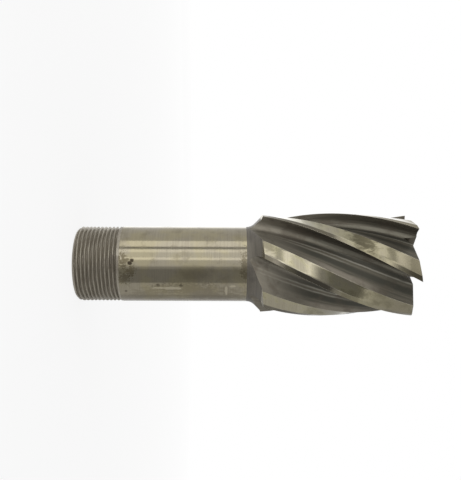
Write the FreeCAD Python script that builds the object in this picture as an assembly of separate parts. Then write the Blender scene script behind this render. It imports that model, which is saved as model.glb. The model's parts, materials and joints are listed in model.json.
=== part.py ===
"""Right-hand end mill with six helical teeth and a threaded cylindrical shank.

All sizes are millimetres. The tool stands on its shank end: its axis is Z, the origin is
the centre of the shank's end face, and the cutting end is uppermost.
"""
import FreeCAD
import Part
import math
import os

from FreeCAD import Vector

# Whole tool
OVERALL_LENGTH = 111.0
SHANK_LENGTH = 56.0

# Shank, ground above its thread, which stays a plain cylinder at the crests here
SHANK_DIAMETER = 25.0
THREAD_LENGTH = 15.0
CREST_STEP = 0.1
SHANK_CHAMFER = 1.0

# Neck, which widens from the shank in a hollow curve and a cone, then steps up to the lands
NECK_FILLET_RADIUS = 4.0
NECK_CONE_DEG = 45.0
SHOULDER_HEIGHT = 1.65
SHOULDER_SLOPE_DEG = 20.0

# Fluted head
CUTTING_DIAMETER = 34.5
TOOTH_COUNT = 6
HELIX_ANGLE_DEG = 27.0
EDGE_START_DEG = -73.7

# Section of one tooth, across the axis. The flutes' floor clears the shank by the floor step.
FLOOR_STEP = 0.1
RAKE_ANGLE_DEG = 9.0
ROOT_RADIUS = 2.4
ROOT_STRIPS = 6
PRIMARY_LAND_WIDTH = 1.7
PRIMARY_RELIEF_DEG = 5.0
SECONDARY_LAND_WIDTH = 4.7
SECONDARY_RELIEF_DEG = 12.0

# End teeth
END_RELIEF_DEG = 8.0
DISH_ANGLE_DEG = 2.0
GASH_DEPTH = 5.0
GASH_INNER_DEPTH = 1.6
GASH_OPENING_DEG = 48.0
GASH_LEAN_DEG = 4.0
END_RECESS_DIAMETER = 8.0
END_RECESS_DEPTH = 3.2

# Centre holes, which carry the tool while it is ground
CENTRE_PILOT_DIAMETER = 3.15
CENTRE_MOUTH_DIAMETER = 6.7
CENTRE_CONE_DEG = 60.0
CENTRE_DEPTH = 6.5
DRILL_POINT_DEG = 118.0

# Room by which a cutting form runs past the surface that it opens
CLEARANCE = 1.0

SHANK_RADIUS = SHANK_DIAMETER / 2
CUTTING_RADIUS = CUTTING_DIAMETER / 2
CORE_RADIUS = SHANK_RADIUS + FLOOR_STEP
TOOTH_PITCH_DEG = 360.0 / TOOTH_COUNT
LEAD = math.pi * CUTTING_DIAMETER / math.tan(math.radians(HELIX_ANGLE_DEG))


def polar(radius, angle_deg, height=0.0):
    """Point at a radius, an angle from +X and a height."""
    angle = math.radians(angle_deg)
    return Vector(radius * math.cos(angle), radius * math.sin(angle), height)


def profile_edges(outline):
    """Straight edges along a list of (radius, height) corners in the plane through Z and +X."""
    corners = [Vector(radius, 0, height) for radius, height in outline]
    return [Part.makeLine(start, end) for start, end in zip(corners, corners[1:])]


def turned(edges):
    """Solid turned about Z from the edges of a closed profile."""
    face = Part.Face(Part.Wire(edges))
    return face.revolve(Vector(0, 0, 0), Vector(0, 0, 1), 360)


def revolved(outline):
    """Solid turned about Z from a closed list of (radius, height) corners."""
    return turned(profile_edges(outline + outline[:1]))


def land_points():
    """Heel and knee of a land whose cutting edge lies at angle 0."""
    knee_radius = CUTTING_RADIUS - PRIMARY_LAND_WIDTH * math.tan(math.radians(PRIMARY_RELIEF_DEG))
    heel_radius = knee_radius - SECONDARY_LAND_WIDTH * math.tan(math.radians(SECONDARY_RELIEF_DEG))
    knee_angle = math.degrees(PRIMARY_LAND_WIDTH / CUTTING_RADIUS)
    heel_angle = math.degrees((PRIMARY_LAND_WIDTH + SECONDARY_LAND_WIDTH) / CUTTING_RADIUS)
    return polar(heel_radius, -heel_angle), polar(knee_radius, -knee_angle)


def root_circle(edge):
    """Centre of the root fillet in front of a cutting edge on +X, and its start on the rake face."""
    rake = math.radians(RAKE_ANGLE_DEG)
    inward = Vector(-math.cos(rake), -math.sin(rake), 0)
    into_flute = Vector(-math.sin(rake), math.cos(rake), 0)
    offset_edge = edge + into_flute * ROOT_RADIUS
    along = -offset_edge.dot(inward)
    reach = CORE_RADIUS + ROOT_RADIUS
    depth = along - math.sqrt(along**2 - offset_edge.dot(offset_edge) + reach**2)
    return offset_edge + inward * depth, edge + inward * depth


def tangent_point(centre, radius, target):
    """Point where a line from target touches the circle, on the side nearer to the axis."""
    toward = target - centre
    base = math.degrees(math.atan2(toward.y, toward.x))
    swing = math.degrees(math.acos(radius / toward.Length))
    touches = [centre + polar(radius, base + side * swing) for side in (-1, 1)]
    return min(touches, key=lambda point: point.Length)


def root_points(centre, start, end):
    """Points round the root fillet, from its start on the rake face to its end on the back."""
    first = math.degrees(math.atan2(start.y - centre.y, start.x - centre.x))
    last = math.degrees(math.atan2(end.y - centre.y, end.x - centre.x))
    step = ((first - last) % 360.0) / ROOT_STRIPS
    return [centre + polar(ROOT_RADIUS, first - index * step) for index in range(ROOT_STRIPS + 1)]


def tooth_points():
    """Corners from one cutting edge on +X across its flute to the knee of the next land."""
    edge = polar(CUTTING_RADIUS, 0)
    centre, rake_end = root_circle(edge)
    turn = FreeCAD.Rotation(Vector(0, 0, 1), TOOTH_PITCH_DEG)
    heel, knee = [turn.multVec(point) for point in land_points()]
    back_start = tangent_point(centre, ROOT_RADIUS, heel)
    return [edge] + root_points(centre, rake_end, back_start) + [heel, knee]


def tooth_section(height):
    """Closed outline of all the teeth at a height, turned to the helix there."""
    start = EDGE_START_DEG + 360.0 * (height - OVERALL_LENGTH) / LEAD
    corners = []
    for tooth in range(TOOTH_COUNT):
        turn = FreeCAD.Rotation(Vector(0, 0, 1), start + tooth * TOOTH_PITCH_DEG)
        corners += [turn.multVec(point) + Vector(0, 0, height) for point in tooth_points()]
    return Part.makePolygon(corners + corners[:1])


def helical_bar():
    """Bar with the teeth's section along the whole head, twisted by the helix."""
    low = SHANK_LENGTH - CLEARANCE
    length = OVERALL_LENGTH + CLEARANCE - low
    spine = Part.Wire(Part.makeLine(Vector(0, 0, low), Vector(0, 0, low + length)))
    guide = Part.makeHelix(LEAD, length, CUTTING_RADIUS)
    guide.translate(Vector(0, 0, low))
    sweep = Part.BRepOffsetAPI.MakePipeShell(spine)
    sweep.setAuxiliarySpine(Part.Wire(guide.Edges), True, 0)
    sweep.add(tooth_section(low))
    sweep.build()
    sweep.makeSolid()
    return sweep.shape()


def hollow_curve():
    """Arc that leads from the shank's surface into the neck's cone, and its end."""
    centre = Vector(SHANK_RADIUS + NECK_FILLET_RADIUS, 0, SHANK_LENGTH)
    points = []
    for share in (0.0, 0.5, 1.0):
        angle = math.radians(NECK_CONE_DEG * share)
        points.append(centre + Vector(-math.cos(angle), 0, math.sin(angle)) * NECK_FILLET_RADIUS)
    return Part.Arc(*points).toShape(), points[-1]


def head_blank():
    """Turned form of neck and head before the flutes are cut."""
    curve, cone_start = hollow_curve()
    cone_end = CUTTING_RADIUS - SHOULDER_HEIGHT
    cone_top = cone_start.z + (cone_end - cone_start.x) / math.tan(math.radians(NECK_CONE_DEG))
    over = CUTTING_RADIUS + CLEARANCE
    shoulder_rise = (over - cone_end) * math.tan(math.radians(SHOULDER_SLOPE_DEG))
    outside = [
        (cone_start.x, cone_start.z),
        (cone_end, cone_top),
        (over, cone_top + shoulder_rise),
        (over, OVERALL_LENGTH),
        (0, OVERALL_LENGTH),
        (0, SHANK_LENGTH),
        (SHANK_RADIUS, SHANK_LENGTH),
    ]
    return turned([curve] + profile_edges(outside))


def shank():
    """Cylindrical shank with its chamfered end and the slightly smaller length for the thread."""
    crest_radius = SHANK_RADIUS - CREST_STEP
    outline = [
        (0, 0),
        (crest_radius - SHANK_CHAMFER, 0),
        (crest_radius, SHANK_CHAMFER),
        (crest_radius, THREAD_LENGTH),
        (SHANK_RADIUS, THREAD_LENGTH),
        (SHANK_RADIUS, SHANK_LENGTH),
        (0, SHANK_LENGTH),
    ]
    return revolved(outline)


def centre_hole():
    """Cutting form of a centre hole whose mouth lies at height 0 and opens downwards."""
    pilot = CENTRE_PILOT_DIAMETER / 2
    mouth = CENTRE_MOUTH_DIAMETER / 2
    cone_depth = (mouth - pilot) / math.tan(math.radians(CENTRE_CONE_DEG / 2))
    point_height = pilot / math.tan(math.radians(DRILL_POINT_DEG / 2))
    outline = [
        (0, -CLEARANCE),
        (mouth, -CLEARANCE),
        (mouth, 0),
        (pilot, cone_depth),
        (pilot, CENTRE_DEPTH),
        (0, CENTRE_DEPTH + point_height),
    ]
    return revolved(outline)


def end_recess():
    """Cutting form of the recess at the middle of the end teeth, with a centre hole in its floor."""
    floor = OVERALL_LENGTH - END_RECESS_DEPTH
    bore = Part.makeCylinder(END_RECESS_DIAMETER / 2, END_RECESS_DEPTH + CLEARANCE, Vector(0, 0, floor))
    centre = centre_hole()
    centre.rotate(Vector(0, 0, 0), Vector(1, 0, 0), 180)
    centre.translate(Vector(0, 0, floor))
    return bore.fuse(centre)


def relief_wedge():
    """Room above one end tooth whose cutting edge lies on +X."""
    reach = 2 * CUTTING_DIAMETER
    edge_slope = math.tan(math.radians(DISH_ANGLE_DEG))
    relief_slope = math.tan(math.radians(END_RELIEF_DEG))
    middle = OVERALL_LENGTH - CUTTING_RADIUS * edge_slope
    back = math.radians(TOOTH_PITCH_DEG)
    back_height = middle + reach * (edge_slope * math.cos(back) - relief_slope * math.sin(back))
    floor = [
        Vector(0, 0, middle),
        polar(reach, 0, middle + reach * edge_slope),
        polar(reach, -TOOTH_PITCH_DEG, back_height),
    ]
    top = OVERALL_LENGTH + reach
    roof = [Vector(point.x, point.y, top) for point in floor]
    wires = [Part.makePolygon(corners + corners[:1]) for corners in (floor, roof)]
    return Part.makeLoft(wires, True, True)


def gash():
    """Notch in front of one end tooth, deepest at the rim, for a cutting edge on +X."""
    opening = math.tan(math.radians(GASH_OPENING_DEG))
    lean = math.tan(math.radians(GASH_LEAN_DEG))
    outlines = []
    for radius, depth in ((0.0, GASH_INNER_DEPTH), (CUTTING_RADIUS, GASH_DEPTH)):
        root = Vector(radius, -depth * lean, OVERALL_LENGTH - depth)
        over = depth + CLEARANCE
        front = root + Vector(0, over * opening, over)
        rear = root + Vector(0, over * lean, over)
        outlines.append(Part.makePolygon([root, front, rear, root]))
    return Part.makeLoft(outlines, True, True)


def turned_copies(form):
    """One copy of a cutting form for each tooth at the cutting end."""
    copies = []
    for tooth in range(TOOTH_COUNT):
        copy = form.copy()
        copy.rotate(Vector(0, 0, 0), Vector(0, 0, 1), EDGE_START_DEG + tooth * TOOTH_PITCH_DEG)
        copies.append(copy)
    return copies


def end_mill():
    """The whole tool as one solid."""
    head = head_blank().common(helical_bar())
    tool = head.fuse(shank())
    cuts = turned_copies(relief_wedge()) + turned_copies(gash()) + [centre_hole(), end_recess()]
    return tool.cut(cuts).removeSplitter()


os.makedirs("parts", exist_ok=True)
tool = end_mill()
print("solids", len(tool.Solids), "valid", tool.isValid(), "volume", round(tool.Volume), "faces", len(tool.Faces))
tool.exportStep("parts/end_mill.step")
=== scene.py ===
"""Dressed model of a right-hand end mill with a threaded shank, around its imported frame.

Lengths are metres. The tool stands on its shank end and its axis is Z. The camera is rolled
so that the tool lies across the picture with its cutting end to the right.
"""

import json
import logging
import math
from dataclasses import dataclass
from enum import Enum

import bmesh
import bpy
from mathutils import Matrix, Vector

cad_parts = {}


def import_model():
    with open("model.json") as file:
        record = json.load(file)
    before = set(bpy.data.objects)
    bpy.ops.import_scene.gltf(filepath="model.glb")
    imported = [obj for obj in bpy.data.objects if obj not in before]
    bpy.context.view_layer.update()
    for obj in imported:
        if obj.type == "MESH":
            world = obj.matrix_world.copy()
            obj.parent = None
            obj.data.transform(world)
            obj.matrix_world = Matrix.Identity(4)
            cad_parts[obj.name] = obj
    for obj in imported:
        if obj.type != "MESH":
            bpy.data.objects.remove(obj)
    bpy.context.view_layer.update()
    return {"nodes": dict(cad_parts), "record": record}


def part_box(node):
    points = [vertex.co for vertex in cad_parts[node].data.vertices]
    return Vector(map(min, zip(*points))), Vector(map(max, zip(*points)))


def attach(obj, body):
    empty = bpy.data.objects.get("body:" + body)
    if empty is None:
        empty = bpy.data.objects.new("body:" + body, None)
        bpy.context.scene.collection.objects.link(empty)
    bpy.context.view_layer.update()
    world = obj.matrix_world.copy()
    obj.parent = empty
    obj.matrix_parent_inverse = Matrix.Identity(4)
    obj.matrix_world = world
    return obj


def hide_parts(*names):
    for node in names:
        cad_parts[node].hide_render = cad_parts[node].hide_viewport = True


LOG = logging.getLogger("end_mill")

MM = 0.001
NODE = "end_mill"
BODY = "root"
PIECE = "end_mill_steel"
CUTTING_DIAMETER = 34.5 * MM

RING_COLUMNS = 288
WELD_DISTANCE = 0.001 * MM
SHARP_ANGLE = math.radians(28.0)
FULL_TURN = 2.0 * math.pi
ZONE_ATTRIBUTE = "zone"

Colour = tuple[float, float, float]
Socket = bpy.types.NodeSocket


class Zone(Enum):
    """Areas of the steel that are finished alike. The value is the face's material index."""

    SHANK = 0
    THREAD = 1
    NECK = 2
    FLUTE = 3
    LAND = 4
    EDGE = 5
    END = 6


class Grain(Enum):
    """Directions in which a finish has its lines."""

    ROUND = "lines run round the axis"
    HELIX = "lines run along the flutes"
    ACROSS = "lines run across the lands"
    NONE = "no lines"


def polar(radius: float, angle: float, height: float = 0.0) -> Vector:
    """Point at a radius, an angle from +X in radians and a height."""
    return Vector((radius * math.cos(angle), radius * math.sin(angle), height))


def grey(tone: float) -> tuple[float, float, float, float]:
    """Grey of a tone, as a socket's colour."""
    return (tone, tone, tone, 1.0)


def new_mesh(name: str, points: list[Vector], faces: list[tuple[int, ...]], zones: list[Zone],
             finishes: dict[Zone, bpy.types.Material]) -> bpy.types.Mesh:
    """Makes a mesh whose faces have the material of their zone.

    Args:
        name: Name of the mesh.
        points: Its vertices.
        faces: Vertex numbers of each face.
        zones: Zone of each face, also kept as a face attribute.
        finishes: Material of each zone.

    Returns:
        The mesh.
    """
    mesh = bpy.data.meshes.new(name)
    mesh.from_pydata([tuple(point) for point in points], [], faces)
    for zone in Zone:
        mesh.materials.append(finishes[zone])
    values = [zone.value for zone in zones]
    mesh.polygons.foreach_set("material_index", values)
    mesh.attributes.new(ZONE_ATTRIBUTE, "INT", "FACE").data.foreach_set("value", values)
    return mesh


def linked_object(name: str, data: bpy.types.ID) -> bpy.types.Object:
    """Makes an object and links it to the scene.

    Args:
        name: Name of the object.
        data: Its mesh, lamp or camera.

    Returns:
        The object, at the origin.
    """
    made = bpy.data.objects.new(name, data)
    bpy.context.scene.collection.objects.link(made)
    return made


def evaluated_mesh(source: bpy.types.Object, name: str) -> bpy.types.Mesh:
    """Turns an object with its modifiers into a plain mesh and removes the object.

    Args:
        source: Object with its modifiers.
        name: Name of the mesh.

    Returns:
        The mesh.
    """
    graph = bpy.context.evaluated_depsgraph_get()
    mesh = bpy.data.meshes.new_from_object(source.evaluated_get(graph))
    mesh.name = name
    bpy.data.objects.remove(source)
    return mesh


def hull_mesh(name: str, points: list[Vector]) -> bpy.types.Mesh:
    """Closed mesh around a few corner points of a convex form.

    Args:
        name: Name of the mesh.
        points: The corners.

    Returns:
        The mesh, its faces pointing outwards.
    """
    work = bmesh.new()
    for point in points:
        work.verts.new(point)
    bmesh.ops.convex_hull(work, input=work.verts)
    bmesh.ops.recalc_face_normals(work, faces=work.faces)
    mesh = bpy.data.meshes.new(name)
    work.to_mesh(mesh)
    work.free()
    return mesh


def open_edges(mesh: bpy.types.Mesh) -> int:
    """Counts the edges that don't lie between two faces.

    Args:
        mesh: Mesh to look at.

    Returns:
        The number, 0 for a closed mesh.
    """
    work = bmesh.new()
    work.from_mesh(mesh)
    count = sum(1 for edge in work.edges if len(edge.link_faces) != 2)
    work.free()
    return count


class Tree:
    """Node tree, with short calls for the nodes that all the trees use."""

    def __init__(self, tree: bpy.types.NodeTree) -> None:
        """Takes an empty tree."""
        self.tree = tree

    def node(self, kind: str, **settings: object) -> bpy.types.Node:
        """Adds a node.

        Args:
            kind: Type name of the node.
            settings: Its properties.

        Returns:
            The node.
        """
        made = self.tree.nodes.new(kind)
        for key, value in settings.items():
            setattr(made, key, value)
        return made

    def feed(self, value: object, target: Socket) -> None:
        """Links a socket to the target, or sets the target to a plain value.

        Args:
            value: Socket, number, vector or colour.
            target: Input that gets it.
        """
        if isinstance(value, Socket):
            self.tree.links.new(value, target)
        else:
            target.default_value = value

    def math(self, operation: str, first: object, second: object = 0.0) -> Socket:
        """Adds a Math node.

        Args:
            operation: What it does.
            first: First socket or number.
            second: Second socket or number.

        Returns:
            The result.
        """
        made = self.node("ShaderNodeMath", operation=operation)
        self.feed(first, made.inputs[0])
        self.feed(second, made.inputs[1])
        return made.outputs[0]

    def spread(self, value: object, low: object, high: object, start: float = 0.0, end: float = 1.0,
               smooth: bool = True) -> Socket:
        """Maps a value between two limits to a range.

        Args:
            value: Socket or number that is mapped.
            low: Value that gives the start.
            high: Value that gives the end.
            start: Result at the low value.
            end: Result at the high value.
            smooth: Whether the steps at both limits are softened.

        Returns:
            The result.
        """
        made = self.node("ShaderNodeMapRange", interpolation_type="SMOOTHSTEP" if smooth else "LINEAR")
        names = ("Value", "From Min", "From Max", "To Min", "To Max")
        for number, name in zip((value, low, high, start, end), names):
            self.feed(number, made.inputs[name])
        return made.outputs["Result"]


class Pattern(Tree):
    """Geometry Nodes tree with named inputs, and the modifier that runs it."""

    def __init__(self, name: str) -> None:
        """Makes an empty tree with a geometry input and output.

        Args:
            name: Name of the tree.
        """
        super().__init__(bpy.data.node_groups.new(name, "GeometryNodeTree"))
        for direction in ("INPUT", "OUTPUT"):
            self.tree.interface.new_socket("Geometry", in_out=direction, socket_type="NodeSocketGeometry")
        self.values: dict[str, object] = {}
        self.start = self.node("NodeGroupInput")
        self.end = self.node("NodeGroupOutput")

    def size(self, name: str, kind: str, value: object) -> Socket:
        """Adds a named input.

        Args:
            name: Name of the input.
            kind: Type name of its socket.
            value: Value that it has when the tree runs.

        Returns:
            The input's socket inside the tree.
        """
        made = self.tree.interface.new_socket(name, in_out="INPUT", socket_type=kind)
        self.values[made.identifier] = value
        return self.start.outputs[name]

    def finish_tree(self, geometry: Socket, weld: float, finishes: dict[Zone, bpy.types.Material]) -> None:
        """Welds the geometry and gives each zone its material.

        Args:
            geometry: Geometry with its instances not yet realised.
            weld: Distance within which points are merged.
            finishes: Material of each zone that the geometry has.
        """
        real = self.node("GeometryNodeRealizeInstances")
        self.feed(geometry, real.inputs[0])
        welded = self.node("GeometryNodeMergeByDistance")
        self.feed(real.outputs[0], welded.inputs["Geometry"])
        self.feed(self.size("Weld Distance", "NodeSocketFloat", weld), welded.inputs["Distance"])
        current = welded.outputs[0]
        for zone, finish in finishes.items():
            stored = self.node("GeometryNodeInputNamedAttribute", data_type="INT")
            stored.inputs["Name"].default_value = ZONE_ATTRIBUTE
            same = self.node("FunctionNodeCompare", data_type="INT", operation="EQUAL")
            self.feed(stored.outputs["Attribute"], same.inputs["A"])
            same.inputs["B"].default_value = zone.value
            painted = self.node("GeometryNodeSetMaterial")
            self.feed(current, painted.inputs["Geometry"])
            self.feed(same.outputs["Result"], painted.inputs["Selection"])
            painted.inputs["Material"].default_value = finish
            current = painted.outputs[0]
        self.feed(current, self.end.inputs[0])

    def run(self, mesh: bpy.types.Mesh, name: str) -> bpy.types.Mesh:
        """Runs the tree on a mesh.

        Args:
            mesh: Mesh that goes into the tree.
            name: Name of the result.

        Returns:
            The result as a plain mesh.
        """
        holder = linked_object(name, mesh)
        modifier = holder.modifiers.new(name, "NODES")
        modifier.node_group = self.tree
        for identifier, value in self.values.items():
            modifier[identifier] = value
        return evaluated_mesh(holder, name)


class Graph(Tree):
    """Node tree of one steel material, with short calls for the patterns that the finishes use."""

    def __init__(self, name: str) -> None:
        """Makes a material with a Principled shader.

        Args:
            name: Name of the material.
        """
        self.material = bpy.data.materials.new(name)
        self.material.use_nodes = True
        super().__init__(self.material.node_tree)
        self.tree.nodes.clear()
        self.shader = self.node("ShaderNodeBsdfPrincipled")
        self.feed(self.shader.outputs["BSDF"], self.node("ShaderNodeOutputMaterial").inputs["Surface"])

    def scaled(self, vector: Socket, scale: tuple[float, float, float]) -> Socket:
        """Multiplies a vector.

        Args:
            vector: The vector.
            scale: Factor for each axis.

        Returns:
            The product.
        """
        made = self.node("ShaderNodeMapping", vector_type="POINT")
        self.feed(vector, made.inputs["Vector"])
        made.inputs["Scale"].default_value = scale
        return made.outputs["Vector"]

    def noise(self, vector: Socket, size: float, detail: float = 3.0, roughness: float = 0.6) -> Socket:
        """Adds a Noise Texture.

        Args:
            vector: Where it is read.
            size: Size of its patches, in the vector's unit.
            detail: Number of finer layers.
            roughness: Strength of the finer layers.

        Returns:
            Its factor.
        """
        made = self.node("ShaderNodeTexNoise")
        self.feed(vector, made.inputs["Vector"])
        made.inputs["Scale"].default_value = 1.0 / size
        made.inputs["Detail"].default_value = detail
        made.inputs["Roughness"].default_value = roughness
        return made.outputs["Fac"]

    def mixed(self, factor: object, first: object, second: object) -> Socket:
        """Mixes two colours.

        Args:
            factor: Share of the second colour.
            first: First colour, a socket or a plain colour.
            second: Second colour, a socket or a plain colour.

        Returns:
            The mixed colour.
        """
        made = self.node("ShaderNodeMix", data_type="RGBA", blend_type="MIX")
        self.feed(factor, made.inputs["Factor"])
        for value, socket in ((first, made.inputs[6]), (second, made.inputs[7])):
            self.feed((*value, 1.0) if isinstance(value, tuple) else value, socket)
        return made.outputs[2]

    def object_point(self) -> Socket:
        """Place on the object, in metres."""
        return self.node("ShaderNodeTexCoord").outputs["Object"]

    def parts_of(self, vector: Socket) -> tuple[Socket, ...]:
        """Splits a vector.

        Args:
            vector: The vector.

        Returns:
            Its X, Y and Z.
        """
        made = self.node("ShaderNodeSeparateXYZ")
        self.feed(vector, made.inputs[0])
        return tuple(made.outputs)

    def length_of(self, vector: Socket) -> Socket:
        """Measures a vector.

        Args:
            vector: The vector.

        Returns:
            Its length.
        """
        made = self.node("ShaderNodeVectorMath", operation="LENGTH")
        self.feed(vector, made.inputs[0])
        return made.outputs["Value"]

    def untwisted(self, point: Socket, lead: float) -> Socket:
        """Turns a place back about the axis, so that each flute runs straight up.

        Args:
            point: Place on the object.
            lead: Height in which a flute goes once round.

        Returns:
            The turned place.
        """
        height = self.parts_of(point)[2]
        turn = self.node("ShaderNodeVectorRotate", rotation_type="Z_AXIS")
        self.feed(point, turn.inputs["Vector"])
        self.feed(self.math("MULTIPLY", height, -FULL_TURN / lead), turn.inputs["Angle"])
        return turn.outputs["Vector"]

    def angle_ahead(self, place: Socket, first: float, pitch: float) -> Socket:
        """Angle from the last cutting edge, in radians.

        Args:
            place: Untwisted place.
            first: Angle of one edge there.
            pitch: Angle from one tooth to the next.

        Returns:
            The angle, from 0 at an edge to the pitch at the next one.
        """
        across = self.parts_of(place)
        angle = self.math("ARCTAN2", across[1], across[0])
        return self.math("FLOORED_MODULO", self.math("SUBTRACT", angle, first), pitch)

    def band(self, value: Socket, middle: float, half: float, core: float = 0.3) -> Socket:
        """Marks the values near a middle.

        Args:
            value: The value.
            middle: Middle of the band.
            half: Distance from the middle at which the band has faded out.
            core: Share of that distance over which it is full.

        Returns:
            1 in the band's core, falling to 0 outside it.
        """
        distance = self.math("ABSOLUTE", self.math("SUBTRACT", value, middle))
        return self.spread(distance, core * half, half, 1.0, 0.0)

    def bump(self, height: Socket, depth: float) -> None:
        """Gives the shader a bump.

        Args:
            height: Height pattern.
            depth: Depth of the pattern, in metres.
        """
        made = self.node("ShaderNodeBump")
        made.inputs["Distance"].default_value = depth
        made.inputs["Strength"].default_value = 1.0
        self.feed(height, made.inputs["Height"])
        self.feed(made.outputs["Normal"], self.shader.inputs["Normal"])


@dataclass(frozen=True)
class Twist:
    """How the teeth are set round the axis, for the finishes that follow them."""

    lead: float
    first_edge: float
    pitch: float


@dataclass(frozen=True)
class Mark:
    """A ragged round or long mark on the steel.

    The turn is the angle from the side that faces the camera. On a land it is measured after the flutes
    are turned back to run straight up.
    """

    turn: float
    height: float
    half_width: float
    half_height: float
    strength: float = 1.0
    radius: float = 12.5 * MM
    ragged: float = 0.5
    fade: float = 0.25
    gain: float = 4.0

    def mask(self, graph: Graph, place: Socket, noise: Socket) -> Socket:
        """Adds the mark's nodes.

        Args:
            graph: Tree of the material.
            place: Place on the object.
            noise: Pattern that makes its rim ragged.

        Returns:
            Strength of the mark at each place.
        """
        local = graph.node("ShaderNodeMapping", vector_type="TEXTURE")
        graph.feed(place, local.inputs["Vector"])
        local.inputs["Location"].default_value = polar(self.radius, self.turn - math.pi / 2, self.height)
        local.inputs["Scale"].default_value = (self.half_width, self.half_width, self.half_height)
        shift = graph.math("MULTIPLY", graph.math("SUBTRACT", noise, 0.5), self.gain * self.ragged)
        reach = graph.math("ADD", graph.length_of(local.outputs["Vector"]), shift)
        return graph.spread(reach, 1.0 - self.fade, 1.0 + self.fade, self.strength, 0.0)


@dataclass(frozen=True)
class SteelFinish:
    """One finish of the steel: its colours, its lines, its blotches and its marks. Its blotch colour also
    gives the painted shade in the thread's grooves and the painted dark reflections on the lands.
    """

    name: str
    bright: Colour
    dull: Colour
    # Blotch colour; it also gives the painted shade in the thread's grooves and the painted dark reflections
    # on the lands.
    stain_and_shade: Colour
    grain: Grain = Grain.ROUND
    line_size: float = 0.25 * MM
    line_length: float = 12.0 * MM
    line_spread: float = 0.24
    stain_size: float = 6.0 * MM
    stain_layers: float = 4.0
    stain_grit: float = 0.62
    stain_share: float = 0.5
    stain_low: float = 0.5
    stain_high: float = 0.68
    stain_depth: float = 0.6
    metallic: float = 1.0
    roughness: float = 0.35
    stained_roughness: float = 0.55
    edge_tone: float = 1.0
    bump_depth: float = 0.02 * MM
    ragged_size: float = 1.0 * MM
    ragged_length: float = 2.2 * MM
    speck_size: float = 0.55 * MM
    speck_layers: float = 2.0
    pit: Colour = (0.03, 0.022, 0.015)
    scratch_gain: float = 1.5
    tint: Colour = (0.29, 0.255, 0.15)
    tint_size: float = 11.0 * MM
    tint_grit: float = 0.55
    tint_share: float = 0.0
    tint_low: float = 0.45
    tint_high: float = 0.6
    # Marks that darken like blotches; on the lands some are painted dark reflections.
    stains_and_reflections: tuple[Mark, ...] = ()
    specks: tuple[Mark, ...] = ()
    pits: tuple[Mark, ...] = ()
    scratches: tuple[Mark, ...] = ()

    def grain_scale(self) -> tuple[float, float, float]:
        """Scale of the line pattern.

        Returns:
            The scale for each axis.
        """
        fine = 1.0 / self.line_size
        long = 1.0 / self.line_length
        if self.grain is Grain.HELIX:
            return (fine, fine, long)
        if self.grain is Grain.NONE:
            return (fine, fine, fine)
        return (long, long, fine)

    def material(self, twist: Twist) -> bpy.types.Material:
        """Builds the finish as a material.

        Args:
            twist: How the teeth are set round the axis.

        Returns:
            The material.
        """
        graph = Graph(self.name)
        point = graph.object_point()
        place = graph.untwisted(point, twist.lead) if self.grain in (Grain.HELIX, Grain.ACROSS) else point
        lines = graph.noise(graph.scaled(place, self.grain_scale()), 1.0)
        patches = graph.noise(place, self.stain_size, self.stain_layers, self.stain_grit)
        ragged_scale = (1.0 / self.ragged_size, 1.0 / self.ragged_size, 1.0 / self.ragged_length)
        ragged = graph.noise(graph.scaled(point, ragged_scale), 1.0)
        lit = graph.spread(lines, 0.5 - self.line_spread, 0.5 + self.line_spread)
        colour = graph.mixed(lit, self.dull, self.bright)
        if self.tint_share:
            tints = graph.noise(place, self.tint_size, roughness=self.tint_grit)
            tinted = graph.spread(tints, self.tint_low, self.tint_high, 0.0, self.tint_share)
            colour = graph.mixed(tinted, colour, self.tint)
        colour = self.banded(graph, place, twist, patches, colour)
        stain_and_shade_share = graph.spread(patches, self.stain_low, self.stain_high)
        stain_and_shade_share = graph.math("MULTIPLY", stain_and_shade_share, self.stain_share)
        # Painted shade of the thread's grooves joins the blotch factor here.
        stain_and_shade_share = graph.math("MAXIMUM", stain_and_shade_share, self.depth_shade(graph, point))
        stain_and_shade_share = self.marked(graph, place, ragged, self.stains_and_reflections, stain_and_shade_share)
        if self.specks:
            fine = graph.noise(place, self.speck_size, self.speck_layers)
            stain_and_shade_share = self.marked(graph, place, fine, self.specks, stain_and_shade_share)
        # Blotches, painted groove shade and painted dark reflections all take the blotch colour here.
        colour = graph.mixed(stain_and_shade_share, colour, self.stain_and_shade)
        scratched = self.marked(graph, place, ragged, self.scratches, None)
        if scratched:
            bare = tuple(self.scratch_gain * channel for channel in self.bright)
            colour = graph.mixed(scratched, colour, bare)
        pitted = self.marked(graph, place, ragged, self.pits, None)
        if pitted:
            colour = graph.mixed(pitted, colour, self.pit)
            stain_and_shade_share = graph.math("MAXIMUM", stain_and_shade_share, pitted)
        graph.feed(colour, graph.shader.inputs["Base Color"])
        rough = graph.math("MULTIPLY", stain_and_shade_share, self.stained_roughness - self.roughness)
        graph.feed(graph.math("ADD", rough, self.roughness), graph.shader.inputs["Roughness"])
        graph.shader.inputs["Metallic"].default_value = self.metallic
        graph.shader.inputs["Specular Tint"].default_value = grey(self.edge_tone)
        eaten = graph.math("MULTIPLY", stain_and_shade_share, self.stain_depth)
        graph.bump(graph.math("SUBTRACT", lines, eaten), self.bump_depth)
        return graph.material

    def marked(self, graph: Graph, place: Socket, ragged: Socket, marks: tuple[Mark, ...],
               base: Socket | None) -> Socket | None:
        """Joins the masks of some marks.

        Args:
            graph: Tree of the material.
            place: Place on the object.
            ragged: Pattern that makes their rims ragged.
            marks: The marks.
            base: Factor that they are joined to.

        Returns:
            The largest of the factor and the masks, or none.
        """
        for mark in marks:
            mask = mark.mask(graph, place, ragged)
            base = graph.math("MAXIMUM", base, mask) if base else mask
        return base

    def banded(self, graph: Graph, place: Socket, twist: Twist, patches: Socket, colour: Socket) -> Socket:
        """Colour with what changes from the cutting edge to the heel. The plain finish changes nothing."""
        return colour

    def depth_shade(self, graph: Graph, point: Socket) -> Socket | float:
        """Painted shade factor that depends on the depth. The plain finish has none."""
        return 0.0


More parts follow.
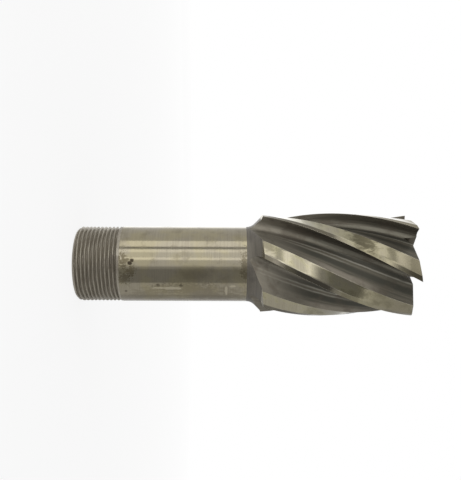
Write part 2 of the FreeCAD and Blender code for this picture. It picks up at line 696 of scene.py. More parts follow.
@dataclass(frozen=True)
class ThreadFinish(SteelFinish):
    """Finish of the thread, with painted shade that makes it a little darker towards the bottom of its
    grooves.
    """

    full_radius: float = 11.59 * MM
    clear_radius: float = 12.319 * MM
    depth_shade_share: float = 0.5

    def depth_shade(self, graph: Graph, point: Socket) -> Socket:
        """Adds the painted shade of the grooves.

        Args:
            graph: Tree of the material.
            point: Place on the object.

        Returns:
            Painted shade factor that grows with the depth below the crests.
        """
        away = graph.length_of(graph.scaled(point, (1.0, 1.0, 0.0)))
        return graph.spread(away, self.full_radius, self.clear_radius, self.depth_shade_share, 0.0)


@dataclass(frozen=True)
class FluteFinish(SteelFinish):
    """Finish of the flutes, in bands that run with them from the cutting edge to the heel of the next land.

    Each band has a middle and a half width, as angles ahead of the edge. The bands are a grey band beside
    the edge, painted lighter as reflected light, a dark root of painted shade, two light lines of painted
    highlight, a dark band of painted reflection before the heel and a brown back. They fade to brown by the
    neck.
    """

    # Painted reflected light: the rake beside the cutting edge is made lighter than the rest of the flute.
    face: Colour = (0.15, 0.14, 0.11)
    lit_face_full: float = math.radians(3.0)
    lit_face_end: float = math.radians(6.0)
    # Painted shade: the dark root at the bottom of the flute.
    root: Colour = (0.062, 0.059, 0.047)
    shaded_root_middle: float = math.radians(10.0)
    shaded_root_half: float = math.radians(4.5)
    heel: Colour = (0.19, 0.17, 0.135)
    heel_middle: float = math.radians(36.5)
    heel_half: float = math.radians(5.0)
    heel_height: float = 86.0 * MM
    heel_reach: float = 16.0 * MM
    # Painted highlights: two thin light lines along the flute's floor, the second fading out towards the
    # end.
    line: Colour = (0.25, 0.24, 0.20)
    highlight_low: float = 0.3
    highlight_high: float = 0.6
    highlight_least: float = 0.5
    first_highlight: float = math.radians(14.6)
    first_half: float = math.radians(1.5)
    second_highlight: float = math.radians(19.6)
    second_half: float = math.radians(1.4)
    second_share: float = 0.8
    second_fade: float = 82.8 * MM
    second_end: float = 92.0 * MM
    # Painted dark reflection: the dark band in the flute before the heel of the next land.
    gully_reflection: Colour = (0.05, 0.048, 0.037)
    gully_reflection_middle: float = math.radians(25.0)
    gully_reflection_half: float = math.radians(6.0)
    wander: float = math.radians(3.0)
    start: Colour = (0.22, 0.20, 0.16)
    start_low: float = 62.0 * MM
    start_high: float = 79.0 * MM
    start_share: float = 0.75

    def banded(self, graph: Graph, place: Socket, twist: Twist, patches: Socket, colour: Socket) -> Socket:
        """Adds the bands along the flute, among them painted light, painted shade, painted highlights and a
        painted dark reflection.

        Args:
            graph: Tree of the material.
            place: Untwisted place.
            twist: How the teeth are set round the axis.
            patches: Pattern that makes the bands wander and breaks the lines.
            colour: Colour without them.

        Returns:
            Colour with them.
        """
        drift = graph.math("MULTIPLY", graph.math("SUBTRACT", patches, 0.5), self.wander)
        angle = graph.math("ADD", graph.angle_ahead(place, twist.first_edge, twist.pitch), drift)
        height = graph.parts_of(place)[2]
        # Painted reflected light on the rake beside the edge.
        colour = graph.mixed(graph.spread(angle, self.lit_face_full, self.lit_face_end, 1.0, 0.0), colour, self.face)
        # Painted shade in the flute's root.
        colour = graph.mixed(graph.band(angle, self.shaded_root_middle, self.shaded_root_half), colour, self.root)
        by_heel = graph.math("MULTIPLY", graph.band(angle, self.heel_middle, self.heel_half),
                             graph.band(height, self.heel_height, self.heel_reach))
        colour = graph.mixed(by_heel, colour, self.heel)
        # Painted dark reflection before the heel.
        colour = graph.mixed(graph.band(angle, self.gully_reflection_middle, self.gully_reflection_half), colour, self.gully_reflection)
        # Two painted highlight lines along the flute's floor, broken by the patches.
        first = graph.band(angle, self.first_highlight, self.first_half)
        second = graph.math("MULTIPLY", graph.band(angle, self.second_highlight, self.second_half),
                            graph.spread(height, self.second_fade, self.second_end, self.second_share, 0.0))
        for line in (first, second):
            gaps = graph.spread(patches, self.highlight_low, self.highlight_high, self.highlight_least, 1.0)
            colour = graph.mixed(graph.math("MULTIPLY", line, gaps), colour, self.line)
        by_neck = graph.spread(height, self.start_low, self.start_high, self.start_share, 0.0)
        return graph.mixed(by_neck, colour, self.start)


@dataclass(frozen=True)
class LandFinish(SteelFinish):
    """Finish of the lands, with a dark band of painted reflection beside the cutting edge and a browner tip.
    """

    # Painted dark reflection: the dark band on the primary land beside the cutting edge, below strip_end.
    reflection_strip: Colour = (0.10, 0.09, 0.072)
    reflection_strip_share: float = 0.85
    strip_angle: float = math.radians(5.6)
    strip_fade: float = math.radians(0.5)
    strip_end: float = 88.0 * MM
    strip_run: float = 6.0 * MM
    # Painted highlight: the thin bright line along the knee, in the colour of the worn edges.
    knee: Colour = (0.42, 0.39, 0.31)
    knee_highlight_half: float = math.radians(0.7)
    knee_highlight_low: float = 0.35
    knee_highlight_high: float = 0.6
    tip: Colour = (0.19, 0.17, 0.12)
    tip_start: float = 82.0 * MM
    tip_end: float = 108.0 * MM
    tip_share: float = 0.8

    def banded(self, graph: Graph, place: Socket, twist: Twist, patches: Socket, colour: Socket) -> Socket:
        """Adds the painted dark reflection beside the edge, the painted highlight line at its knee and the
        tip.

        Args:
            graph: Tree of the material.
            place: Untwisted place.
            twist: How the teeth are set round the axis.
            patches: Pattern that breaks the line.
            colour: Colour without them.

        Returns:
            Colour with them.
        """
        angle = graph.angle_ahead(place, twist.first_edge, twist.pitch)
        height = graph.parts_of(place)[2]
        knee = twist.pitch - self.strip_angle
        tip = graph.spread(height, self.tip_start, self.tip_end, 0.0, self.tip_share)
        colour = graph.mixed(tip, colour, self.tip)
        run_start, run_end = self.strip_end - self.strip_run, self.strip_end + self.strip_run
        below = graph.spread(height, run_start, run_end, 1.0, 0.0)
        # Painted dark reflection on the primary land, fading out above strip_end.
        reflection_strip = graph.spread(angle, knee - self.strip_fade, knee + self.strip_fade, 0.0, self.reflection_strip_share)
        colour = graph.mixed(graph.math("MULTIPLY", reflection_strip, below), colour, self.reflection_strip)
        # Painted highlight line along the knee, fading out above strip_end.
        gaps = graph.spread(patches, self.knee_highlight_low, self.knee_highlight_high)
        line = graph.math("MULTIPLY", graph.band(angle, knee, self.knee_highlight_half), gaps)
        return graph.mixed(graph.math("MULTIPLY", line, below), colour, self.knee)


@dataclass
class CentreHole:
    """Centre hole in which the tool is held between points. Both ends have one."""

    mouth_radius: float = 3.35 * MM
    pilot_radius: float = 1.575 * MM
    depth: float = 6.5 * MM
    cone_angle: float = math.radians(60.0)
    point_angle: float = math.radians(118.0)

    def cone_depth(self) -> float:
        """Depth at which the cone ends in the pilot."""
        return (self.mouth_radius - self.pilot_radius) / math.tan(self.cone_angle / 2)

    def tip_depth(self) -> float:
        """Depth of the pilot's point."""
        return self.depth + self.pilot_radius / math.tan(self.point_angle / 2)

    def outline(self) -> list[tuple[float, float]]:
        """Outline of the hole.

        Returns:
            Radius and depth of each ring, from the mouth to the point.
        """
        return [
            (self.mouth_radius, 0.0),
            (self.pilot_radius, self.cone_depth()),
            (self.pilot_radius, self.depth),
            (0.0, self.tip_depth()),
        ]


@dataclass
class ToothSection:
    """Section of one tooth across the axis, with the cutting edge at angle 0."""

    cutting_radius: float
    core_radius: float
    teeth: int = 6
    rake: float = math.radians(9.0)
    root_radius: float = 2.4 * MM
    primary_width: float = 1.7 * MM
    primary_relief: float = math.radians(5.0)
    secondary_width: float = 4.7 * MM
    secondary_relief: float = math.radians(12.0)
    edge_rounding: float = 0.04 * MM
    heel_rounding: float = 0.15 * MM
    knee_rounding: float = 0.10 * MM
    edge_steps: int = 2
    heel_steps: int = 3
    knee_steps: int = 1
    root_steps: int = 8
    margin_steps: int = 2
    rake_steps: int = 4
    back_steps: int = 15
    secondary_steps: int = 10
    primary_steps: int = 3

    def pitch(self) -> float:
        """Angle from one tooth to the next."""
        return FULL_TURN / self.teeth

    def knee(self) -> Vector:
        """Line where the primary land meets the secondary land."""
        radius = self.cutting_radius - self.primary_width * math.tan(self.primary_relief)
        return polar(radius, -self.primary_width / self.cutting_radius)

    def heel(self) -> Vector:
        """Back end of the land."""
        radius = self.knee().length - self.secondary_width * math.tan(self.secondary_relief)
        return polar(radius, -(self.primary_width + self.secondary_width) / self.cutting_radius)

    def root(self) -> tuple[Vector, Vector]:
        """Root fillet between the rake face and the back of the next tooth.

        Returns:
            Its centre, and its start on the rake face.
        """
        edge = polar(self.cutting_radius, 0.0)
        inward = -polar(1.0, self.rake)
        into_flute = polar(1.0, self.rake + math.pi / 2)
        offset = edge + into_flute * self.root_radius
        along = -offset.dot(inward)
        reach = self.core_radius + self.root_radius
        depth = along - math.sqrt(along**2 - offset.dot(offset) + reach**2)
        return offset + inward * depth, edge + inward * depth

    def rounded(self, before: Vector, corner: Vector, after: Vector, radius: float,
                steps: int) -> list[Vector]:
        """Points round a corner.

        Args:
            before: A point on the line that comes to the corner.
            corner: The sharp corner.
            after: A point on the line that leaves it.
            radius: Radius of the rounding.
            steps: Number of chords.

        Returns:
            The points from the first line to the second.
        """
        back = (before - corner).normalized()
        ahead = (after - corner).normalized()
        half = back.angle(ahead) / 2
        start = corner + back * (radius / math.tan(half))
        end = corner + ahead * (radius / math.tan(half))
        centre = corner + (back + ahead).normalized() * (radius / math.sin(half))
        points = []
        for step in range(steps + 1):
            spoke = (start - centre).lerp(end - centre, step / steps)
            points.append(centre + spoke.normalized() * radius)
        return points

    def line(self, start: Vector, end: Vector, steps: int) -> list[Vector]:
        """Points along a straight line, without its two ends."""
        return [start.lerp(end, step / steps) for step in range(1, steps)]

    def points(self) -> tuple[list[Vector], list[Zone]]:
        """Outline from the middle of one primary land to the next.

        Returns:
            The points, and the zone of each stretch between two of them.
        """
        turn = Matrix.Rotation(self.pitch(), 3, "Z")
        edge = polar(self.cutting_radius, 0.0)
        start = edge.lerp(self.knee(), 0.5)
        centre, rake_end = self.root()
        heel, knee = turn @ self.heel(), turn @ self.knee()
        toward = heel - centre
        swing = math.acos(self.root_radius / toward.length)
        last = math.atan2(toward.y, toward.x) + swing
        first = math.atan2(rake_end.y - centre.y, rake_end.x - centre.x)
        sweep = (first - last) % FULL_TURN
        shares = [step / self.root_steps for step in range(self.root_steps + 1)]
        root = [centre + polar(self.root_radius, first - sweep * share) for share in shares]
        edge_turn = self.rounded(start, edge, rake_end, self.edge_rounding, self.edge_steps)
        heel_turn = self.rounded(root[-1], heel, knee, self.heel_rounding, self.heel_steps)
        knee_turn = self.rounded(heel, knee, turn @ edge, self.knee_rounding, self.knee_steps)
        stretches = [
            ([start], Zone.LAND),
            (self.line(start, edge_turn[0], self.margin_steps), Zone.LAND),
            (edge_turn, Zone.EDGE),
            (self.line(edge_turn[-1], rake_end, self.rake_steps), Zone.FLUTE),
            (root, Zone.FLUTE),
            (self.line(root[-1], heel_turn[0], self.back_steps), Zone.FLUTE),
            (heel_turn, Zone.EDGE),
            (self.line(heel_turn[-1], knee_turn[0], self.secondary_steps), Zone.LAND),
            (knee_turn, Zone.LAND),
            (self.line(knee_turn[-1], turn @ start, self.primary_steps), Zone.LAND),
            ([turn @ start], Zone.LAND),
        ]
        points, zones = [], []
        for index, (stretch, zone) in enumerate(stretches):
            for place, point in enumerate(stretch):
                joins_next = place == len(stretch) - 1 and index + 1 < len(stretches)
                points.append(point)
                zones.append(stretches[index + 1][1] if joins_next and zone is Zone.EDGE else zone)
        return points, zones[:-1]


@dataclass
class Head:
    """Neck and fluted head, with its end teeth."""

    overall: float
    shank_radius: float
    cutting_radius: float
    shank_length: float = 56.0 * MM
    helix: float = math.radians(27.0)
    edge_start: float = math.radians(-73.7)
    floor_step: float = 0.1 * MM
    ring_start: float = math.radians(-12.0)
    fillet_radius: float = 4.0 * MM
    cone_angle: float = math.radians(45.0)
    shoulder_height: float = 1.65 * MM
    shoulder_slope: float = math.radians(20.0)
    fillet_rows: int = 8
    cone_rows: int = 4
    shoulder_rows: int = 3
    flute_rows: int = 56
    clearance: float = 1.0 * MM
    end_relief: float = math.radians(8.0)
    relief_overlap: float = math.radians(6.0)
    relief_reach: float = 4.0
    dish: float = math.radians(2.0)
    gash_depth: float = 5.0 * MM
    gash_inner_depth: float = 1.6 * MM
    gash_opening: float = math.radians(48.0)
    gash_lean: float = math.radians(4.0)
    recess_radius: float = 4.0 * MM
    recess_depth: float = 3.2 * MM
    recess_columns: int = 72

    def section(self) -> ToothSection:
        """Section of one tooth."""
        return ToothSection(self.cutting_radius, self.shank_radius + self.floor_step)

    def lead(self) -> float:
        """Height in which a flute goes once round the axis."""
        return FULL_TURN * self.cutting_radius / math.tan(self.helix)

    def twist(self) -> Twist:
        """How the teeth are set, with the angle of the first edge turned back to height 0."""
        return Twist(self.lead(), self.turn_at(0.0), self.section().pitch())

    def turn_at(self, height: float) -> float:
        """Angle of the first cutting edge at a height."""
        return self.edge_start + FULL_TURN * (height - self.overall) / self.lead()

    def placed(self, radius: float, angle: float, height: float) -> Vector:
        """Point of the section at a height, turned to the helix there."""
        return polar(radius, angle + self.turn_at(height), height)

    def cone_start(self) -> float:
        """Radius where the hollow curve meets the cone."""
        return self.shank_radius + self.fillet_radius * (1.0 - math.cos(self.cone_angle))

    def cone_end(self) -> float:
        """Radius where the cone meets the shoulder."""
        return self.cutting_radius - self.shoulder_height

    def neck_height(self, radius: float) -> float:
        """Outline of the turned neck: a hollow curve, a cone and a shoulder.

        Args:
            radius: Radius on the neck.

        Returns:
            The height there.
        """
        reach = min(radius, self.cone_start())
        swing = math.acos((self.shank_radius + self.fillet_radius - reach) / self.fillet_radius)
        height = self.shank_length + self.fillet_radius * math.sin(swing)
        height += max(0.0, min(radius, self.cone_end()) - self.cone_start()) / math.tan(self.cone_angle)
        return height + max(0.0, radius - self.cone_end()) * math.tan(self.shoulder_slope)

    def neck_radii(self) -> list[float]:
        """Rows that the neck is made of.

        Returns:
            The radius of each, from the shank outwards.
        """
        radii = []
        for row in range(self.fillet_rows):
            swing = self.cone_angle * row / self.fillet_rows
            radii.append(self.shank_radius + self.fillet_radius * (1.0 - math.cos(swing)))
        for start, end, rows in (
            (self.cone_start(), self.cone_end(), self.cone_rows),
            (self.cone_end(), self.cutting_radius, self.shoulder_rows),
        ):
            radii += [start + (end - start) * row / rows for row in range(rows)]
        return radii + [self.cutting_radius]

    def sector(self, finishes: dict[Zone, bpy.types.Material]) -> bpy.types.Mesh:
        """Neck, flute and land of one tooth, from the shank's ring to a cap above the end.

        Args:
            finishes: Material of each zone.

        Returns:
            The open mesh, which spans the angle from one tooth to the next.
        """
        outline, stretch_zones = self.section().points()
        top = self.overall + self.clearance
        radii = self.neck_radii()
        flank_end = len(radii) + self.flute_rows
        rows = flank_end + 2
        step = self.section().pitch() / (len(outline) - 1)
        points = []
        for column, point in enumerate(outline):
            radius, angle = point.length, math.atan2(point.y, point.x)
            ring_angle = self.ring_start + column * step
            for level in radii:
                reach = min(level, radius)
                share = (reach - self.shank_radius) / (radius - self.shank_radius)
                place = ring_angle + (angle - ring_angle) * share
                points.append(self.placed(reach, place, self.neck_height(reach)))
            start = self.neck_height(radius)
            for row in range(1, self.flute_rows + 1):
                height = start + (top - start) * row / self.flute_rows
                points.append(self.placed(radius, angle, height))
            points += [self.placed(self.shank_radius, ring_angle, top), Vector((0.0, 0.0, top))]
        faces, zones = [], []
        for column, zone in enumerate(stretch_zones):
            for row in range(rows - 1):
                low = column * rows + row
                faces.append((low, low + rows, low + rows + 1, low + 1))
                if row < self.fillet_rows + self.cone_rows:
                    zones.append(Zone.NECK)
                elif row < len(radii) - 1:
                    zones.append(Zone.EDGE)
                else:
                    zones.append(zone if row < flank_end - 1 else Zone.END)
        return new_mesh("tooth_sector", points, faces, zones, finishes)

    def teeth(self, finishes: dict[Zone, bpy.types.Material]) -> bpy.types.Mesh:
        """All the teeth, made by a tree that sets one sector round the axis.

        Args:
            finishes: Material of each zone.

        Returns:
            The welded mesh, open at the shank's ring.
        """
        pattern = Pattern("teeth_round_axis")
        count = pattern.size("Teeth", "NodeSocketInt", self.section().teeth)
        places = pattern.node("GeometryNodePoints")
        pattern.feed(count, places.inputs["Count"])
        index = pattern.node("GeometryNodeInputIndex")
        turn = pattern.math("DIVIDE", pattern.math("MULTIPLY", index.outputs[0], FULL_TURN), count)
        rotation = pattern.node("ShaderNodeCombineXYZ")
        pattern.feed(turn, rotation.inputs["Z"])
        copies = pattern.node("GeometryNodeInstanceOnPoints")
        pattern.feed(places.outputs[0], copies.inputs["Points"])
        pattern.feed(pattern.start.outputs["Geometry"], copies.inputs["Instance"])
        pattern.feed(rotation.outputs[0], copies.inputs["Rotation"])
        used = {zone: finishes[zone] for zone in (Zone.NECK, Zone.FLUTE, Zone.LAND, Zone.EDGE, Zone.END)}
        pattern.finish_tree(copies.outputs[0], WELD_DISTANCE, used)
        return pattern.run(self.sector(finishes), "teeth")

    def ring_angle(self) -> float:
        """Angle of the first column of the ring where the neck meets the shank."""
        return self.ring_start + self.turn_at(self.shank_length)

    def recess(self) -> list[bpy.types.Mesh]:
        """Forms that are cut from the middle of the end teeth.

        Returns:
            The recess, and the cone and the pilot of its centre hole.
        """
        floor = self.overall - self.recess_depth
        hole = CentreHole()
        lift = 0.5 * (self.recess_radius - hole.mouth_radius)
        cone_low = floor - hole.cone_depth()
        cone_high = floor + lift / math.tan(hole.cone_angle / 2)
        pilot_low = floor - hole.depth
        top = self.overall + self.clearance
        point = (0.0, floor - hole.tip_depth())
        forms = {
            "recess": [(self.recess_radius, floor), (self.recess_radius, top)],
            "centre_cone": [(hole.pilot_radius, cone_low), (hole.mouth_radius + lift, cone_high)],
            "centre_pilot": [point, (hole.pilot_radius, pilot_low), (hole.pilot_radius, floor)],
        }
        return [self.round_form(name, rings) for name, rings in forms.items()]

    def round_form(self, name: str, rings: list[tuple[float, float]]) -> bpy.types.Mesh:
        """Makes a closed convex form round the axis.

        Args:
            name: Name of the form.
            rings: Radius and height of each ring. A ring of radius 0 is one point.

        Returns:
            The mesh.
        """
        points = []
        for radius, height in rings:
            columns = self.recess_columns if radius else 1
            points += [polar(radius, FULL_TURN * step / columns, height) for step in range(columns)]
        return hull_mesh(name, points)

    def cut_end(self, whole: bpy.types.Mesh, finish: bpy.types.Material) -> bpy.types.Mesh:
        """Cuts the end teeth.

        Args:
            whole: The closed tool with its cap above the end.
            finish: Material of the cut faces.

        Returns:
            The tool with its end teeth.
        """
        tool = linked_object("tool", whole)
        forms = []
        for tooth in range(self.section().teeth):
            turn = Matrix.Rotation(self.edge_start + tooth * self.section().pitch(), 4, "Z")
            for form in self.cutters():
                form.transform(turn)
                forms.append(form)
        forms += self.recess()
        holders = []
        for form in forms:
            form.materials.append(finish)
            holder = linked_object(form.name, form)
            cut = tool.modifiers.new(form.name, "BOOLEAN")
            cut.operation = "DIFFERENCE"
            cut.solver = "MANIFOLD"
            cut.material_mode = "TRANSFER"
            cut.object = holder
            holders.append(holder)
        mesh = evaluated_mesh(tool, NODE)
        for holder in holders:
            bpy.data.objects.remove(holder)
        return mesh

    def cutters(self) -> list[bpy.types.Mesh]:
        """Forms that are cut from the end for one tooth with its edge on +X.

        Returns:
            The relief behind the edge, which overlaps the next one a little, and the gash before it.
        """
        reach = self.relief_reach * self.cutting_radius
        edge_slope, relief_slope = math.tan(self.dish), math.tan(self.end_relief)
        floor = [Vector(), polar(reach, self.relief_overlap), polar(reach, -self.section().pitch())]
        for point in floor:
            point.z = self.overall + (point.x - self.cutting_radius) * edge_slope + point.y * relief_slope
        roof = [Vector((point.x, point.y, self.overall + reach)) for point in floor]
        notch = []
        for radius, depth in ((0.0, self.gash_inner_depth), (self.cutting_radius, self.gash_depth)):
            slide = depth * math.tan(self.gash_lean)
            over = depth + self.clearance
            root = Vector((radius, -slide, self.overall - depth))
            front = root + Vector((0.0, over * math.tan(self.gash_opening), over))
            rear = root + Vector((0.0, over * math.tan(self.gash_lean), over))
            notch += [root, front, rear]
        return [hull_mesh("relief", floor + roof), hull_mesh("gash", notch)]


@dataclass
class Shank:
    """Cylindrical shank with the thread at its free end and a centre hole in its face."""

    radius: float
    length: float
    first_angle: float
    crest_step: float = 0.1 * MM
    thread_length: float = 15.0 * MM
    pitch: float = 1.27 * MM
    depth: float = 0.81 * MM
    phase: float = 0.44
    flat_share: float = 0.12
    fade_start: float = 1.1 * MM
    fade_end: float = 0.4 * MM
    chamfer: float = 1.0 * MM
    thread_rows: int = 96
    step_height: float = 0.06 * MM
    plain_rows: int = 10

    def crest(self) -> float:
        """Radius of the thread's crests."""
        return self.radius - self.crest_step

    def thread(self, finishes: dict[Zone, bpy.types.Material]) -> bpy.types.Mesh:
        """Threaded length, made by a tree that bends a grid round the axis and cuts the groove.

        Args:
            finishes: Material of each zone.

        Returns:
            The mesh, open at both ends.
        """
        tree = Pattern("helical_thread")
        columns = tree.size("Columns", "NodeSocketInt", RING_COLUMNS)
        rows = tree.size("Rows", "NodeSocketInt", self.thread_rows)
        length = tree.size("Length", "NodeSocketFloat", self.thread_length)
        pitch = tree.size("Pitch", "NodeSocketFloat", self.pitch)
        depth = tree.size("Depth", "NodeSocketFloat", self.depth)
        crest = tree.size("Crest Radius", "NodeSocketFloat", self.crest())
        chamfer = tree.size("Chamfer", "NodeSocketFloat", self.chamfer)
        phase = tree.size("Phase", "NodeSocketFloat", self.phase)
        first = tree.size("First Angle", "NodeSocketFloat", self.first_angle)
        grid = tree.node("GeometryNodeMeshGrid")
        grid.inputs["Size X"].default_value = 1.0
        grid.inputs["Size Y"].default_value = 1.0
        tree.feed(tree.math("ADD", rows, 1.0), grid.inputs["Vertices X"])
        tree.feed(tree.math("ADD", columns, 1.0), grid.inputs["Vertices Y"])
        place = tree.node("ShaderNodeSeparateXYZ")
        tree.feed(tree.node("GeometryNodeInputPosition").outputs[0], place.inputs[0])
        height = tree.math("MULTIPLY", tree.math("ADD", place.outputs["X"], 0.5), length)
        share = tree.math("ADD", place.outputs["Y"], 0.5)
        angle = tree.math("ADD", tree.math("MULTIPLY", share, FULL_TURN), first)
        turned = tree.math("DIVIDE", angle, FULL_TURN)
        turns = tree.math("SUBTRACT", tree.math("DIVIDE", height, pitch), turned)
        wave = tree.math("PINGPONG", tree.math("ADD", turns, phase), 0.5)
        flat_end, flank_end = 0.5 * self.flat_share, 0.5 * (1.0 - self.flat_share)
        groove = tree.spread(wave, flat_end, flank_end, smooth=False)
        fade_low = tree.math("SUBTRACT", length, self.fade_start)
        fade_high = tree.math("SUBTRACT", length, self.fade_end)
        fade = tree.spread(height, fade_low, fade_high, 1.0, 0.0, smooth=False)
        sunk = tree.math("MULTIPLY", tree.math("MULTIPLY", groove, depth), fade)
        bevelled = tree.math("ADD", tree.math("SUBTRACT", crest, chamfer), height)
        radius = tree.math("MINIMUM", tree.math("SUBTRACT", crest, sunk), bevelled)
        target = tree.node("ShaderNodeCombineXYZ")
        tree.feed(tree.math("MULTIPLY", radius, tree.math("COSINE", angle)), target.inputs["X"])
        tree.feed(tree.math("MULTIPLY", radius, tree.math("SINE", angle)), target.inputs["Y"])
        tree.feed(height, target.inputs["Z"])
        moved = tree.node("GeometryNodeSetPosition")
        tree.feed(grid.outputs["Mesh"], moved.inputs["Geometry"])
        tree.feed(target.outputs[0], moved.inputs["Position"])
        marked = tree.node("GeometryNodeStoreNamedAttribute", data_type="INT", domain="FACE")
        tree.feed(moved.outputs[0], marked.inputs["Geometry"])
        marked.inputs["Name"].default_value = ZONE_ATTRIBUTE
        marked.inputs["Value"].default_value = Zone.THREAD.value
        tree.finish_tree(marked.outputs[0], WELD_DISTANCE, {Zone.THREAD: finishes[Zone.THREAD]})
        return tree.run(bpy.data.meshes.new("empty"), "thread")

    def turned(self, outline: list[tuple[float, float]], zones: list[Zone],
               finishes: dict[Zone, bpy.types.Material]) -> bpy.types.Mesh:
        """Surface turned about the axis.

        Args:
            outline: Radius and height of each ring. A ring of radius 0 is one point.
            zones: Zone of each stretch between two rings.
            finishes: Material of each zone.

        Returns:
            The mesh, with the shank's columns.
        """
        points, faces, face_zones = [], [], []
        for radius, height in outline:
            for column in range(RING_COLUMNS):
                points.append(polar(radius, self.first_angle + FULL_TURN * column / RING_COLUMNS, height))
        for ring, zone in enumerate(zones):
            for column in range(RING_COLUMNS):
                here = ring * RING_COLUMNS + column
                beside = ring * RING_COLUMNS + (column + 1) % RING_COLUMNS
                faces.append((here, beside, beside + RING_COLUMNS, here + RING_COLUMNS))
                face_zones.append(zone)
        return new_mesh("turned", points, faces, face_zones, finishes)

    def plain(self, finishes: dict[Zone, bpy.types.Material]) -> bpy.types.Mesh:
        """Ground length above the thread.

        Args:
            finishes: Material of each zone.

        Returns:
            The mesh, open at both ends.
        """
        low = self.thread_length + self.step_height
        outline = [(self.crest(), self.thread_length)]
        for row in range(self.plain_rows + 1):
            outline.append((self.radius, low + (self.length - low) * row / self.plain_rows))
        return self.turned(outline, [Zone.SHANK] * (len(outline) - 1), finishes)

    def face(self, finishes: dict[Zone, bpy.types.Material]) -> bpy.types.Mesh:
        """Face of the shank's end with its centre hole.

        Args:
            finishes: Material of each zone.

        Returns:
            The mesh, open at its rim.
        """
        hole = CentreHole()
        rim = self.crest() - self.chamfer
        outline = [(rim, 0.0), ((rim + hole.mouth_radius) / 2, 0.0)] + hole.outline()
        return self.turned(outline, [Zone.END] * (len(outline) - 1), finishes)


@dataclass
class EndMill:
    """The whole tool as one closed piece."""

    head: Head
    shank: Shank
    finishes: dict[Zone, bpy.types.Material]

    def joined(self, meshes: list[bpy.types.Mesh], weld: bool = True) -> bpy.types.Mesh:
        """One closed mesh of several, with the finishes in the order of their zones.

        Args:
            meshes: The meshes, which are removed.
            weld: Whether points that meet are merged.

        Returns:
            The joined mesh.
        """
        order = {self.finishes[zone].name: zone.value for zone in Zone}
        work = bmesh.new()
        for mesh in meshes:
            slots = [order[material.name] if material else 0 for material in mesh.materials]
            first = len(work.faces)
            work.from_mesh(mesh)
            work.faces.ensure_lookup_table()
            for face in work.faces[first:]:
                face.material_index = slots[face.material_index]
            bpy.data.meshes.remove(mesh)
        if weld:
            bmesh.ops.remove_doubles(work, verts=work.verts, dist=WELD_DISTANCE)
        bmesh.ops.recalc_face_normals(work, faces=work.faces)
        for face in work.faces:
            face.smooth = True
        for edge in work.edges:
            edge.smooth = len(edge.link_faces) == 2 and edge.calc_face_angle() < SHARP_ANGLE
        result = bpy.data.meshes.new(NODE)
        for zone in Zone:
            result.materials.append(self.finishes[zone])
        work.to_mesh(result)
        work.free()
        return result

    def build(self) -> bpy.types.Object:
        """Builds the piece, sets it on its body and hides the plain solid.

        Returns:
            The piece, at the origin.
        """
        shank = self.shank
        parts = [self.head.teeth(self.finishes), shank.plain(self.finishes)]
        parts += [shank.thread(self.finishes), shank.face(self.finishes)]
        whole = self.joined(parts)
        cut = self.head.cut_end(whole, self.finishes[Zone.END])
        piece = linked_object(PIECE, self.joined([cut], weld=False))
        LOG.info("%s: %d faces, %d open edges", piece.name, len(piece.data.polygons), open_edges(piece.data))
        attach(piece, BODY)
        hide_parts(NODE)
        return piece


